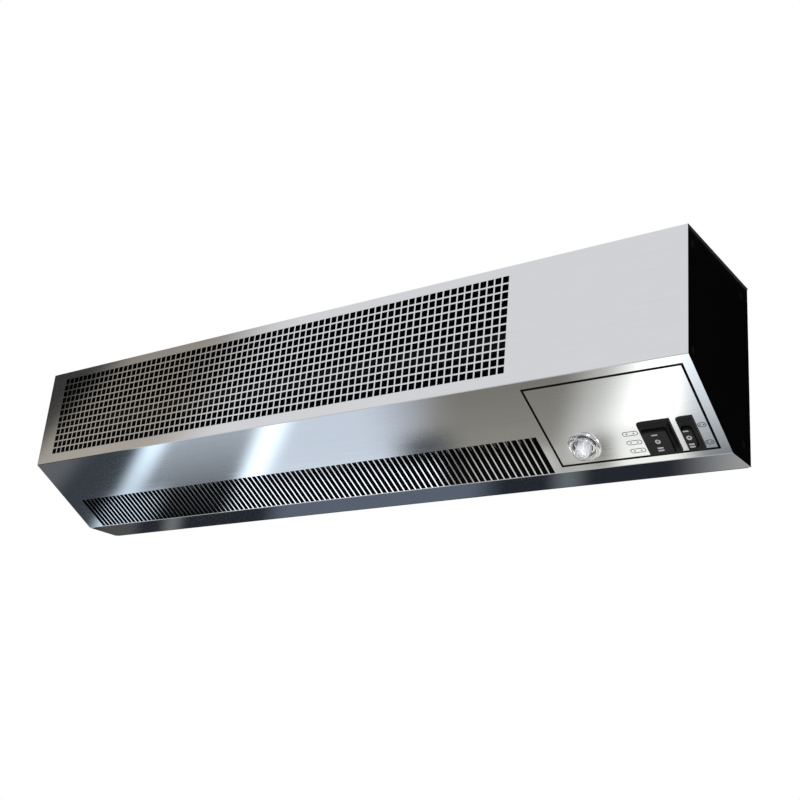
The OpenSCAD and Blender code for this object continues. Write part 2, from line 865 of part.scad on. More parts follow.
// Rocker: a shallow V above a block that hangs from two pins.
module rocker(opening, body, cut) {
  half_run = rocker_half(opening[1]);
  top_run = half_run - rocker_lean;
  top = valley + rocker_rise;
  width = opening[0] - 2 * rocker_gap;
  intersection() {
    rotate([90, 0, 90]) linear_extrude(width + 2, center = true) polygon([
      [-half_run + 0.6, -rocker_block], [half_run - 0.6, -rocker_block], [half_run, bezel_top],
      [top_run, top], [0, valley], [-top_run, top], [-half_run, bezel_top]
    ]);
    translate([0, 0, -rocker_block - 1]) linear_extrude(rocker_block + top + 2)
      cut_corners([width, 2 * half_run], cut);
  }
  translate([-body[0] / 2, 0, pivot_depth]) rotate([0, 90, 0])
    cylinder(r = pin_radius, h = body[0]);
}

// Generic off, first and second position marks, laid on the V of the rocker.
module rocker_marks(opening, bar) {
  half_run = rocker_half(opening[1]) - rocker_lean;
  intersection() {
    rotate([90, 0, 90]) linear_extrude(opening[0], center = true) polygon([
      [-half_run, valley + rocker_rise], [0, valley], [half_run, valley + rocker_rise],
      [half_run, valley + rocker_rise + mark_height], [0, valley + mark_height],
      [-half_run, valley + rocker_rise + mark_height]
    ]);
    linear_extrude(2 * valley) translate([0, mark_shift]) {
      translate([0, mark_place]) square([bar, mark_thick], center = true);
      difference() {
        circle(r = mark_ring[0]);
        circle(r = mark_ring[1]);
      }
      for (y = [-1.1, 1.1]) translate([0, y - mark_place])
        square([bar, mark_thick], center = true);
    }
  }
}

module switch_tabs(columns, pitch) {
  tab = [0.8, 5, 8];
  for (i = [0:columns - 1], y = [-8.5, 0, 8.5])
    translate([(i - (columns - 1) / 2) * pitch, y, -switch_depth - tab[2] / 2])
      cube(tab, center = true);
}

module main_switch() {
  color("#1b1b1b") on_slope(main_x, switch_s)
    switch_housing(main_bezel, main_body, main_opening, main_cut);
}

module main_rocker() {
  color("#222222") on_slope(main_x, switch_s) rocker(main_opening, main_body, main_cut);
}

module main_rocker_marks() {
  color("white") on_slope(main_x, switch_s) rocker_marks(main_opening, main_mark);
}

module main_switch_tabs() {
  color("#c8b878") on_slope(main_x, switch_s) switch_tabs(2, 11);
}

module small_switch() {
  color("#1b1b1b") on_slope(small_x, switch_s)
    switch_housing(small_bezel, small_body, small_opening, small_cut);
}

module small_rocker() {
  color("#222222") on_slope(small_x, switch_s)
    rocker(small_opening - small_spare, small_body, small_cut);
}

module small_rocker_marks() {
  color("white") on_slope(small_x, switch_s)
    rocker_marks(small_opening - small_spare, small_mark);
}

module small_switch_tabs() {
  color("#c8b878") on_slope(small_x, switch_s) switch_tabs(1, 0);
}

// Clear flange and collar of the movement sensor.
module sensor_collar() {
  rim = collar_rim;
  neck = dome_radius + collar_wall;
  color("white", 0.4) on_slope(sensor_x, sensor_s) rotate_extrude() polygon([
    [dome_radius, 0], [rim, 0], [rim, 1], [rim - 0.8, 1.4], [neck + 0.3, 2.2],
    [neck, collar_top], [dome_radius, collar_top]
  ]);
}

module shell(r, thickness) {
  difference() {
    sphere(r = r);
    sphere(r = r - thickness);
    translate([0, 0, -r]) cube(2 * r, center = true);
  }
}

module sensor_dome() {
  wall = 0.6;
  color("white", 0.4) on_slope(sensor_x, sensor_s) union() {
    translate([0, 0, dome_centre]) shell(dome_radius, wall);
    ring(dome_radius, dome_radius - wall, dome_centre);
  }
}

module sensor_lens() {
  sleeve = 5;
  color("white") on_slope(sensor_x, sensor_s) union() {
    translate([0, 0, lens_centre]) shell(lens_radius, lens_wall);
    translate([0, 0, -sleeve]) ring(lens_radius, lens_radius - lens_wall, lens_centre + sleeve);
  }
}

module sensor_holder() {
  color("#1b1b1b") on_slope(sensor_x, sensor_s) translate([0, 0, -holder_depth]) difference() {
    cylinder(r = lens_radius + holder_wall, h = holder_depth - sheet - seat);
    translate([0, 0, 2]) cylinder(r = lens_radius, h = holder_depth);
  }
}

module sensor_board() {
  color("#2f5d3a") on_slope(sensor_x, sensor_s) translate([0, 0, -8])
    cylinder(r = lens_radius, h = 1.4);
}

module sensor_can() {
  color("silver") on_slope(sensor_x, sensor_s) translate([0, 0, -6.6]) difference() {
    union() {
      cylinder(r = 4.9, h = 0.5);
      cylinder(r = 4.3, h = 4);
    }
    translate([-2, -1.5, 3.6]) cube([4, 3, 1]);
  }
}

// Cable gland in the top, over the electrical compartment; the cable itself is left out.
module gland_body() {
  color("#1b1b1b") translate([gland_x, gland_y, top_z]) difference() {
    union() {
      cylinder(r = gland_hex + 0.7, h = gland_flange, $fn = 6);
      translate([0, 0, -10]) cylinder(r = gland_thread, h = 18);
    }
    translate([0, 0, -11]) cylinder(r = cable_radius, h = 30);
  }
}

module gland_nut() {
  grip = 7;
  color("#1b1b1b") translate([gland_x, gland_y, top_z + gland_flange]) difference() {
    union() {
      cylinder(r = gland_hex, h = grip, $fn = 6);
      translate([0, 0, grip]) cylinder(r = gland_thread + 1, h = 4);
    }
    translate([0, 0, -1]) cylinder(r = gland_thread, h = 4.5);
    translate([0, 0, -1]) cylinder(r = cable_radius, h = 2 * grip);
  }
}

module gland_locknut() {
  thickness = 4;
  color("#1b1b1b") translate([gland_x, gland_y, top_z - sheet - thickness]) difference() {
    cylinder(r = gland_hex, h = thickness, $fn = 6);
    translate([0, 0, -1]) cylinder(r = gland_thread, h = thickness + 2);
  }
}

intake_panel();
outlet_panel();
top_panel();
rear_chassis();
left_end_cap();
right_end_cap();
cap_screws();
cover_screws();
bearing_plate();
motor_partition();
scroll_wall();
vortex_tongue();
bearing_rubber();
bearing_bush();
impeller();
stub_shaft();
drive_hub();
motor_shaft();
motor_rotor();
motor_core();
motor_coil();
inner_bracket();
outer_bracket();
motor_posts();
heating_element();
front_fins();
rear_fins();
heater_bracket();
heater_bushes();
thermal_cutout();
terminal_block();
terminal_screws();
control_board();
board_parts();
board_standoffs();
control_panel();
panel_seal();
main_switch();
main_rocker();
main_rocker_marks();
main_switch_tabs();
small_switch();
small_rocker();
small_rocker_marks();
small_switch_tabs();
sensor_collar();
sensor_dome();
sensor_lens();
sensor_holder();
sensor_board();
sensor_can();
gland_body();
gland_nut();
gland_locknut();
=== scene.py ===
import math
import bpy
import numpy as np
from mathutils import Matrix, Vector


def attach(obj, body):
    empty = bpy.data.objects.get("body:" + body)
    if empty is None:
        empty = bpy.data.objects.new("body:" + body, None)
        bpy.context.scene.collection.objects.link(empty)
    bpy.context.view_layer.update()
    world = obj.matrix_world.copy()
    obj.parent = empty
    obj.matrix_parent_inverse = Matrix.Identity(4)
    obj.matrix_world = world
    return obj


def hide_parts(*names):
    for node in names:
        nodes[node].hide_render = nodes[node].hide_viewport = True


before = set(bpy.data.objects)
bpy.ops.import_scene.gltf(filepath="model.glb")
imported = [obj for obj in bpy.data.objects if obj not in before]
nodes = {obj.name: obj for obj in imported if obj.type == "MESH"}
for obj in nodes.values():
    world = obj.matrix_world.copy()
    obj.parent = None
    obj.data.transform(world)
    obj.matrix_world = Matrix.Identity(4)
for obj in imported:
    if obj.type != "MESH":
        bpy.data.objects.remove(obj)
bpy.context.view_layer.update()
scene = bpy.context.scene
scene.view_settings.view_transform = "Standard"
print("frame loaded,", len(nodes), "nodes")

# The casing's own sizes in metres, as in the part's source.
casing = {
    "depth": 0.1189,
    "faceHeight": 0.1017,
    "slopeRun": 0.0811,
    "slopeDrop": 0.0474,
}
slopeLength = math.hypot(casing["slopeRun"], casing["slopeDrop"])
# Height of the fold between the upright face and the slope: the frame's middle is halfway up.
foldZ = (casing["slopeDrop"] - casing["faceHeight"]) / 2
downSlope = np.array([0, casing["slopeRun"], -casing["slopeDrop"]]) / slopeLength
outOfSlope = np.array([0, -casing["slopeDrop"], -casing["slopeRun"]]) / slopeLength
alongCasing = np.array([1.0, 0.0, 0.0])


def onSlope(x, s, h):
    # A point x along the casing from its middle, s down the slope from the fold, h out of it.
    x, s, h = np.broadcast_arrays(x, s, h)
    fold = np.array([0, -casing["depth"], foldZ])
    return (fold + x[..., None] * alongCasing + s[..., None] * downSlope
            + h[..., None] * outOfSlope)


def linearColour(hexCode, alpha=1.0):
    # An sRGB hex colour as linear numbers.
    values = [int(hexCode[i:i + 2], 16) / 255 for i in (1, 3, 5)]
    linear = [v / 12.92 if v <= 0.04045 else ((v + 0.055) / 1.055) ** 2.4 for v in values]
    return (*linear, alpha)


def addNode(tree, kind, settings=None, links=None):
    # Settings name a property or an input, links an input and the socket that feeds it.
    node = tree.nodes.new(kind)
    for name, value in (settings or {}).items():
        if isinstance(name, int) or name in node.inputs:
            node.inputs[name].default_value = value
        else:
            setattr(node, name, value)
    for name, socket in (links or {}).items():
        tree.links.new(socket, node.inputs[name])
    return node


def addMesh(name, points, faces, material, smooth=True):
    mesh = bpy.data.meshes.new(name)
    mesh.from_pydata(points.reshape(-1, 3).tolist(), [], faces)
    mesh.polygons.foreach_set("use_smooth", np.full(len(mesh.polygons), smooth))
    mesh.materials.append(material)
    mesh.update()
    piece = bpy.data.objects.new(name, mesh)
    scene.collection.objects.link(piece)
    return piece


def gridFaces(rows, columns, ring=False):
    # Quads between neighbouring rows of points, each row closed on itself. In a ring the last
    # row meets the first.
    row, column = np.meshgrid(np.arange(rows - (not ring)), np.arange(columns), indexing="ij")
    here = row * columns + column
    beside = row * columns + (column + 1) % columns
    quads = np.stack([here, beside, beside + columns, here + columns], -1)
    return quads.reshape(-1, 4) % (rows * columns)


def shellFaces(rows, columns):
    # The quads of a grid, and one face that closes it at each end.
    start = list(range(columns))[::-1]
    end = list(range((rows - 1) * columns, rows * columns))
    return gridFaces(rows, columns).tolist() + [start, end]


# Camera at the photograph's viewing angle: below the casing, off its right-hand end.
cameraPlace = {
    "lens": 51.48,
    "sensor": 36.0,
    "place": (0.6494, -0.8087, -0.3459),
    "right": (0.806, 0.586, 0.084),
    "forward": (-0.576, 0.741, 0.345),
}


def makeCamera(place):
    forward = Vector(place["forward"]).normalized()
    right = Vector(place["right"])
    right = (right - forward * right.dot(forward)).normalized()
    up = right.cross(forward)
    data = bpy.data.cameras.new("camera")
    data.lens, data.sensor_width = place["lens"], place["sensor"]
    camera = bpy.data.objects.new("camera", data)
    camera.matrix_world = Matrix((
        (right.x, up.x, -forward.x, place["place"][0]),
        (right.y, up.y, -forward.y, place["place"][1]),
        (right.z, up.z, -forward.z, place["place"][2]),
        (0, 0, 0, 1),
    ))
    scene.collection.objects.link(camera)
    scene.camera = camera


makeCamera(cameraPlace)
print("camera set")

# Studio: a pale floor well below the wall-hung casing, a soft lamp above and to the right,
# a weaker one from below, and a white background.
studio = {
    "floorHeight": -1.4,
    "floorSize": 6.0,
    "floorColour": "#e6e6e4",
    "floorRoughness": 0.9,
    "floorTooth": (2.5, 0.05, 0.5),  # its width in mm, its strength, its height in mm
    "floorFade": (1.8, 5.6, 0.25, 1.0),  # nearest and furthest, then the share of white at each
    "lightLevel": 0.62,
    "keyPlace": (1.6, -1.9, 1.5),
    "keySize": 1.4,
    "keyPower": 26.0,
    "fillPlace": (0.9, -1.6, -0.7),
    "fillSize": 0.9,
    "fillPower": 6.0,
}


def raySeen(tree):
    # 1 for what the camera, metal or glass sees, 0 for what only lights something.
    path = addNode(tree, "ShaderNodeLightPath")
    seen = addNode(tree, "ShaderNodeMath", {"operation": "MAXIMUM"},
                   {0: path.outputs["Is Camera Ray"], 1: path.outputs["Is Glossy Ray"]})
    seen = addNode(tree, "ShaderNodeMath", {"operation": "MAXIMUM"},
                   {0: seen.outputs[0], 1: path.outputs["Is Transmission Ray"]})
    return seen.outputs[0]


def makeWorld(level):
    # White to the eye and in metal and glass, and a little lower as light on the object.
    world = bpy.data.worlds.new("studio")
    world.use_nodes = True
    scene.world = world
    tree = world.node_tree
    tree.nodes.clear()
    light = addNode(tree, "ShaderNodeBackground", {"Color": (1, 1, 1, 1), "Strength": level})
    white = addNode(tree, "ShaderNodeBackground", {"Color": (1, 1, 1, 1), "Strength": 1.0})
    mixed = addNode(tree, "ShaderNodeMixShader", None,
                    {0: raySeen(tree), 1: light.outputs[0], 2: white.outputs[0]})
    addNode(tree, "ShaderNodeOutputWorld", None, {"Surface": mixed.outputs[0]})


def addLamp(name, place, size, power):
    data = bpy.data.lights.new(name, "AREA")
    data.shape, data.size, data.energy = "DISK", size, power
    lamp = bpy.data.objects.new(name, data)
    lamp.location = place
    lamp.visible_glossy = False
    lamp.rotation_euler = (-Vector(place)).to_track_quat("-Z", "Y").to_euler()
    scene.collection.objects.link(lamp)


def makeFloor(values):
    # Matt paper: one even pale colour, with a trace of tooth. Seen directly or in metal and
    # glass, it fades with its distance into the white background.
    material = bpy.data.materials.new("paperFloor")
    material.use_nodes = True
    tree = material.node_tree
    shader = tree.nodes["Principled BSDF"]
    shader.inputs["Base Color"].default_value = linearColour(values["floorColour"])
    shader.inputs["Roughness"].default_value = values["floorRoughness"]
    coords = addNode(tree, "ShaderNodeTexCoord")
    width, strength, height = values["floorTooth"]
    tooth = addNode(tree, "ShaderNodeTexNoise", {"Scale": 1000 / width},
                    {"Vector": coords.outputs["Object"]})
    bump = addNode(tree, "ShaderNodeBump", {"Strength": strength, "Distance": height / 1000},
                   {"Height": tooth.outputs[0]})
    tree.links.new(bump.outputs[0], shader.inputs["Normal"])
    away = addNode(tree, "ShaderNodeVectorMath", {"operation": "LENGTH"},
                   {0: coords.outputs["Object"]})
    nearest, furthest, least, most = values["floorFade"]
    fade = addNode(tree, "ShaderNodeMapRange", {
        "interpolation_type": "SMOOTHSTEP", "From Min": nearest, "From Max": furthest,
        "To Min": least, "To Max": most,
    }, {"Value": away.outputs["Value"]})
    share = addNode(tree, "ShaderNodeMath", {"operation": "MULTIPLY"},
                    {0: fade.outputs[0], 1: raySeen(tree)})
    white = addNode(tree, "ShaderNodeEmission", {"Color": (1, 1, 1, 1), "Strength": 1.0})
    mixed = addNode(tree, "ShaderNodeMixShader", None,
                    {0: share.outputs[0], 1: shader.outputs[0], 2: white.outputs[0]})
    tree.links.new(mixed.outputs[0], tree.nodes["Material Output"].inputs["Surface"])
    material.cycles.emission_sampling = "NONE"
    half, z = values["floorSize"], values["floorHeight"]
    points = np.array([[-half, -half, z], [half, -half, z], [half, half, z], [-half, half, z]])
    addMesh("floor", points, [(0, 1, 2, 3)], material, smooth=False)


makeWorld(studio["lightLevel"])
addLamp("keyLamp", studio["keyPlace"], studio["keySize"], studio["keyPower"])
addLamp("fillLamp", studio["fillPlace"], studio["fillSize"], studio["fillPower"])
makeFloor(studio)

# Boards and strip lights that only polished steel and clear plastic show. Each is a flat
# parallelogram: its middle, half its width and half its length as vectors, its colour and its
# level. Borders are the shares of it that fade out at its sides and at its ends, and gain is
# how much of its level it gains from its middle to its far end. Clear plastic meets the one
# that isn't sampled by itself, so the steel spends no light samples on it.
reflectors = {
    # Under the casing, for the sloped face, from its left-hand end to its right-hand end.
    "darkBoard": {
        "middle": (-1.95, 0, -1.255), "across": (0.62, 0, 0), "along": (-0.3, 0.35, 0),
        "colour": "#c0d0e0", "level": 0.105, "borders": (0.12, 0.1),
    },
    "farBoard": {
        "middle": (-2.16, 0.05, -1.25), "across": (0.3, 0, 0), "along": (-0.61, 0.35, 0),
        "colour": "#c4c8cc", "level": 0.3, "borders": (0.45, 0.3),
    },
    "thinStrip": {
        "middle": (-1.533, 0, -1.24), "across": (0.08, 0, 0), "along": (-0.42, 0.35, 0),
        "colour": "#e0f2ff", "level": 1.7, "borders": (0.9, 0.1), "gain": -1.5,
    },
    "lowerStrip": {
        "middle": (-1.655, 0.14, -1.235), "across": (0.15, 0, 0), "along": (-0.055, 0.05, 0),
        "colour": "#e0f0ff", "level": 1.7, "borders": (0.6, 0.3),
    },
    "middleBoard": {
        "middle": (-1.3, 0, -1.25), "across": (0.28, 0, 0), "along": (-0.3, 0.35, 0),
        "colour": "#d6e0ea", "level": 0.7, "borders": (0.2, 0.1), "gain": -1.9,
    },
    "wideStrip": {
        "middle": (-1.12, 0, -1.235), "across": (0.08, 0, 0), "along": (-0.26, 0.3, 0),
        "colour": "#e8f6ff", "level": 2.1, "borders": (0.9, 0.1),
    },
    "paleBoard": {
        "middle": (-0.89, 0, -1.245), "across": (0.25, 0, 0), "along": (-0.2, 0.35, 0),
        "colour": "#e0eaf6", "level": 1.15, "borders": (0.25, 0.1),
    },
    "beigeBoard": {
        "middle": (-0.45, 0, -1.23), "across": (0.42, 0, 0), "along": (0, 0.4, 0),
        "colour": "#f0ece0", "level": 0.33, "borders": (0.7, 0.1), "gain": 1.1,
    },
    "darkSpot": {
        "middle": (-0.69, 0.1, -1.22), "across": (0.115, 0, 0), "along": (0, 0.075, 0),
        "colour": "#a8bcd8", "level": 0.06, "borders": (0.9, 0.8),
    },
    "paleGlow": {
        "middle": (-0.247, 0.02, -1.215), "across": (0.122, 0, 0), "along": (-0.08, 0.16, 0),
        "colour": "#fdfdf6", "level": 0.78, "borders": (0.8, 0.4), "gain": 0.4,
    },
    "brightPanel": {
        "middle": (-0.135, -0.01, -1.21), "across": (0.135, 0, 0), "along": (-0.07, 0.13, 0),
        "colour": "#fffffa", "level": 2.0, "borders": (0.9, 0.35),
    },
    "sideBoard": {
        "middle": (0.02, 0.08, -1.2), "across": (0.15, 0, 0), "along": (0, 0.18, 0),
        "colour": "#e8f0f4", "level": 0.95, "borders": (0.3, 0.1), "gain": -1.39,
    },
    "darkPatch": {
        "middle": (-0.289, 0.122, -1.198), "across": (0.045, 0, 0), "along": (0, 0.05, 0),
        "colour": "#f0ece0", "level": 0.22, "borders": (1, 1),
    },
    "lowerPanel": {
        "middle": (-0.3, 0.22, -1.205), "across": (0.27, 0, 0), "along": (0, 0.06, 0),
        "colour": "#fffdf4", "level": 0.9, "borders": (0.3, 0.2),
    },
    "lowerGlow": {
        "middle": (-0.2, 0.165, -1.202), "across": (0.1, 0, 0), "along": (0, 0.08, 0),
        "colour": "#fffff8", "level": 1.4, "borders": (0.6, 0.5),
    },
    "slotBoard": {
        "middle": (-0.95, 0.162, -1.215), "across": (0.305, 0, 0), "along": (0, 0.062, 0),
        "colour": "#f4faff", "level": 2.2, "borders": (0.1, 0.3),
    },
    "slotGlow": {
        "middle": (-0.495, 0.16, -1.21), "across": (0.125, 0, 0), "along": (0, 0.055, 0),
        "colour": "#f6f6f0", "level": 1.0, "borders": (0.5, 0.3),
    },
    # Behind and below, for the narrow underside.
    "lowBoard": {
        "middle": (-1.3, 1.5, -0.6), "across": (1.3, 0, 0), "along": (0, 0, 0.3),
        "colour": "#c0d0e8", "level": 0.045, "borders": (0.1, 0.1),
    },
    "lowMiddle": {
        "middle": (-1.2, 1.49, -0.6), "across": (0.42, 0, 0), "along": (0, 0, 0.25),
        "colour": "#c8d8f4", "level": 0.235, "borders": (0.3, 0.2),
    },
    "lowLeft": {
        "middle": (-2.22, 1.49, -0.6), "across": (0.13, 0, 0), "along": (0, 0, 0.25),
        "colour": "#e8ecec", "level": 0.11, "borders": (0.6, 0.2),
    },
    "lowGlint": {
        "middle": (-1.97, 1.49, -0.6), "across": (0.07, 0, 0), "along": (0, 0, 0.25),
        "colour": "#e8ecf0", "level": 0.24, "borders": (1, 0.2),
    },
    "lowSpot": {
        "middle": (-0.615, 1.49, -0.6), "across": (0.07, 0, 0), "along": (0, 0, 0.25),
        "colour": "#d8e8f0", "level": 0.24, "borders": (1, 0.2),
    },
    "lowRight": {
        "middle": (-0.07, 1.49, -0.6), "across": (0.3, 0, 0), "along": (0, 0, 0.25),
        "colour": "#f0f0f0", "level": 0.5, "borders": (0.66, 0.2),
    },
    # Below the camera, each for one small glint in the sensor's dome.
    "leftGlint": {
        "middle": (0.372, -0.875, -0.95), "across": (0.129, 0.019, 0),
        "along": (0.014, -0.095, 0.088),
        "colour": "#ffffff", "level": 16, "borders": (0.5, 0.5),
    },
    "rightGlint": {
        "middle": (0.799, -0.278, -1.12), "across": (0.116, 0, 0.06),
        "along": (-0.011, -0.128, 0.021),
        "colour": "#ffffff", "level": 16, "borders": (0.5, 0.5),
    },
    # To the left, for the flank of the sensor's collar.
    "sideFlag": {
        "middle": (-0.8, -0.45, -0.13), "across": (0, 0.8, 0), "along": (0, 0, 0.2),
        "colour": "#8c8c88", "level": 0.3, "borders": (0.1, 0.1), "sampled": False,
    },
    # Far out in front to the left, for the upright face.
    "warmBoard": {
        "middle": (-3.42, -2.5, 1.3), "across": (0.95, 0, 0), "along": (0.77, 0, 1.08),
        "colour": "#f3e9da", "level": 0.555, "borders": (0.5, 0.3), "gain": -0.9,
    },
    "cornerBoard": {
        "middle": (-3.898, -2.45, 1.728), "across": (0.369, 0, -0.473), "along": (0.79, 0, 0.615),
        "colour": "#dcdcdc", "level": 0.06, "borders": (0.2, 0.1),
    },
    # Behind and above, for the right-hand cap.
    "capFlag": {
        "middle": (0.76, 0.96, 0.48), "across": (-0.65, 0.26, 0), "along": (-0.1, -0.25, 0.6),
        "colour": "#808080", "level": 0.004, "borders": (0.1, 0.1),
    },
}


def addReflector(name, values):
    # Each corner is the middle plus or minus the two half vectors.
    material = bpy.data.materials.new(name)
    material.use_nodes = True
    tree = material.node_tree
    tree.nodes.clear()
    coords = addNode(tree, "ShaderNodeUVMap", {"uv_map": "border"})
    parts = addNode(tree, "ShaderNodeSeparateXYZ", None, {0: coords.outputs[0]})
    edges = []
    for axis, border in enumerate(values["borders"]):
        size = addNode(tree, "ShaderNodeMath", {"operation": "ABSOLUTE"},
                       {0: parts.outputs[axis]})
        edges.append(addNode(tree, "ShaderNodeMapRange", {
            "interpolation_type": "SMOOTHSTEP", "From Min": 1.0, "From Max": 1.0 - border,
        }, {"Value": size.outputs[0]}))
    share = addNode(tree, "ShaderNodeMath", {"operation": "MULTIPLY"},
                    {0: edges[0].outputs[0], 1: edges[1].outputs[0]})
    level = values["level"]
    strength = addNode(tree, "ShaderNodeMath",
                       {"operation": "MULTIPLY_ADD", 1: level * values.get("gain", 0),
                        2: level}, {0: parts.outputs[1]})
    clear = addNode(tree, "ShaderNodeBsdfTransparent")
    light = addNode(tree, "ShaderNodeEmission", {"Color": linearColour(values["colour"])},
                    {"Strength": strength.outputs[0]})
    mixed = addNode(tree, "ShaderNodeMixShader", None,
                    {0: share.outputs[0], 1: clear.outputs[0], 2: light.outputs[0]})
    addNode(tree, "ShaderNodeOutputMaterial", None, {"Surface": mixed.outputs[0]})
    corners = np.array([[-1, -1], [1, -1], [1, 1], [-1, 1]], float)
    points = (np.array(values["middle"]) + corners[:, :1] * np.array(values["across"])
              + corners[:, 1:] * np.array(values["along"]))
    board = addMesh(name, points, [(0, 1, 2, 3)], material, smooth=False)
    board.data.uv_layers.new(name="border").data.foreach_set("uv", corners.ravel())
    board.visible_camera = board.visible_diffuse = board.visible_shadow = False
    board.visible_volume_scatter = False
    if not values.get("sampled", True):
        material.cycles.emission_sampling = "NONE"


for name, values in reflectors.items():
    addReflector(name, values)
print("studio set")

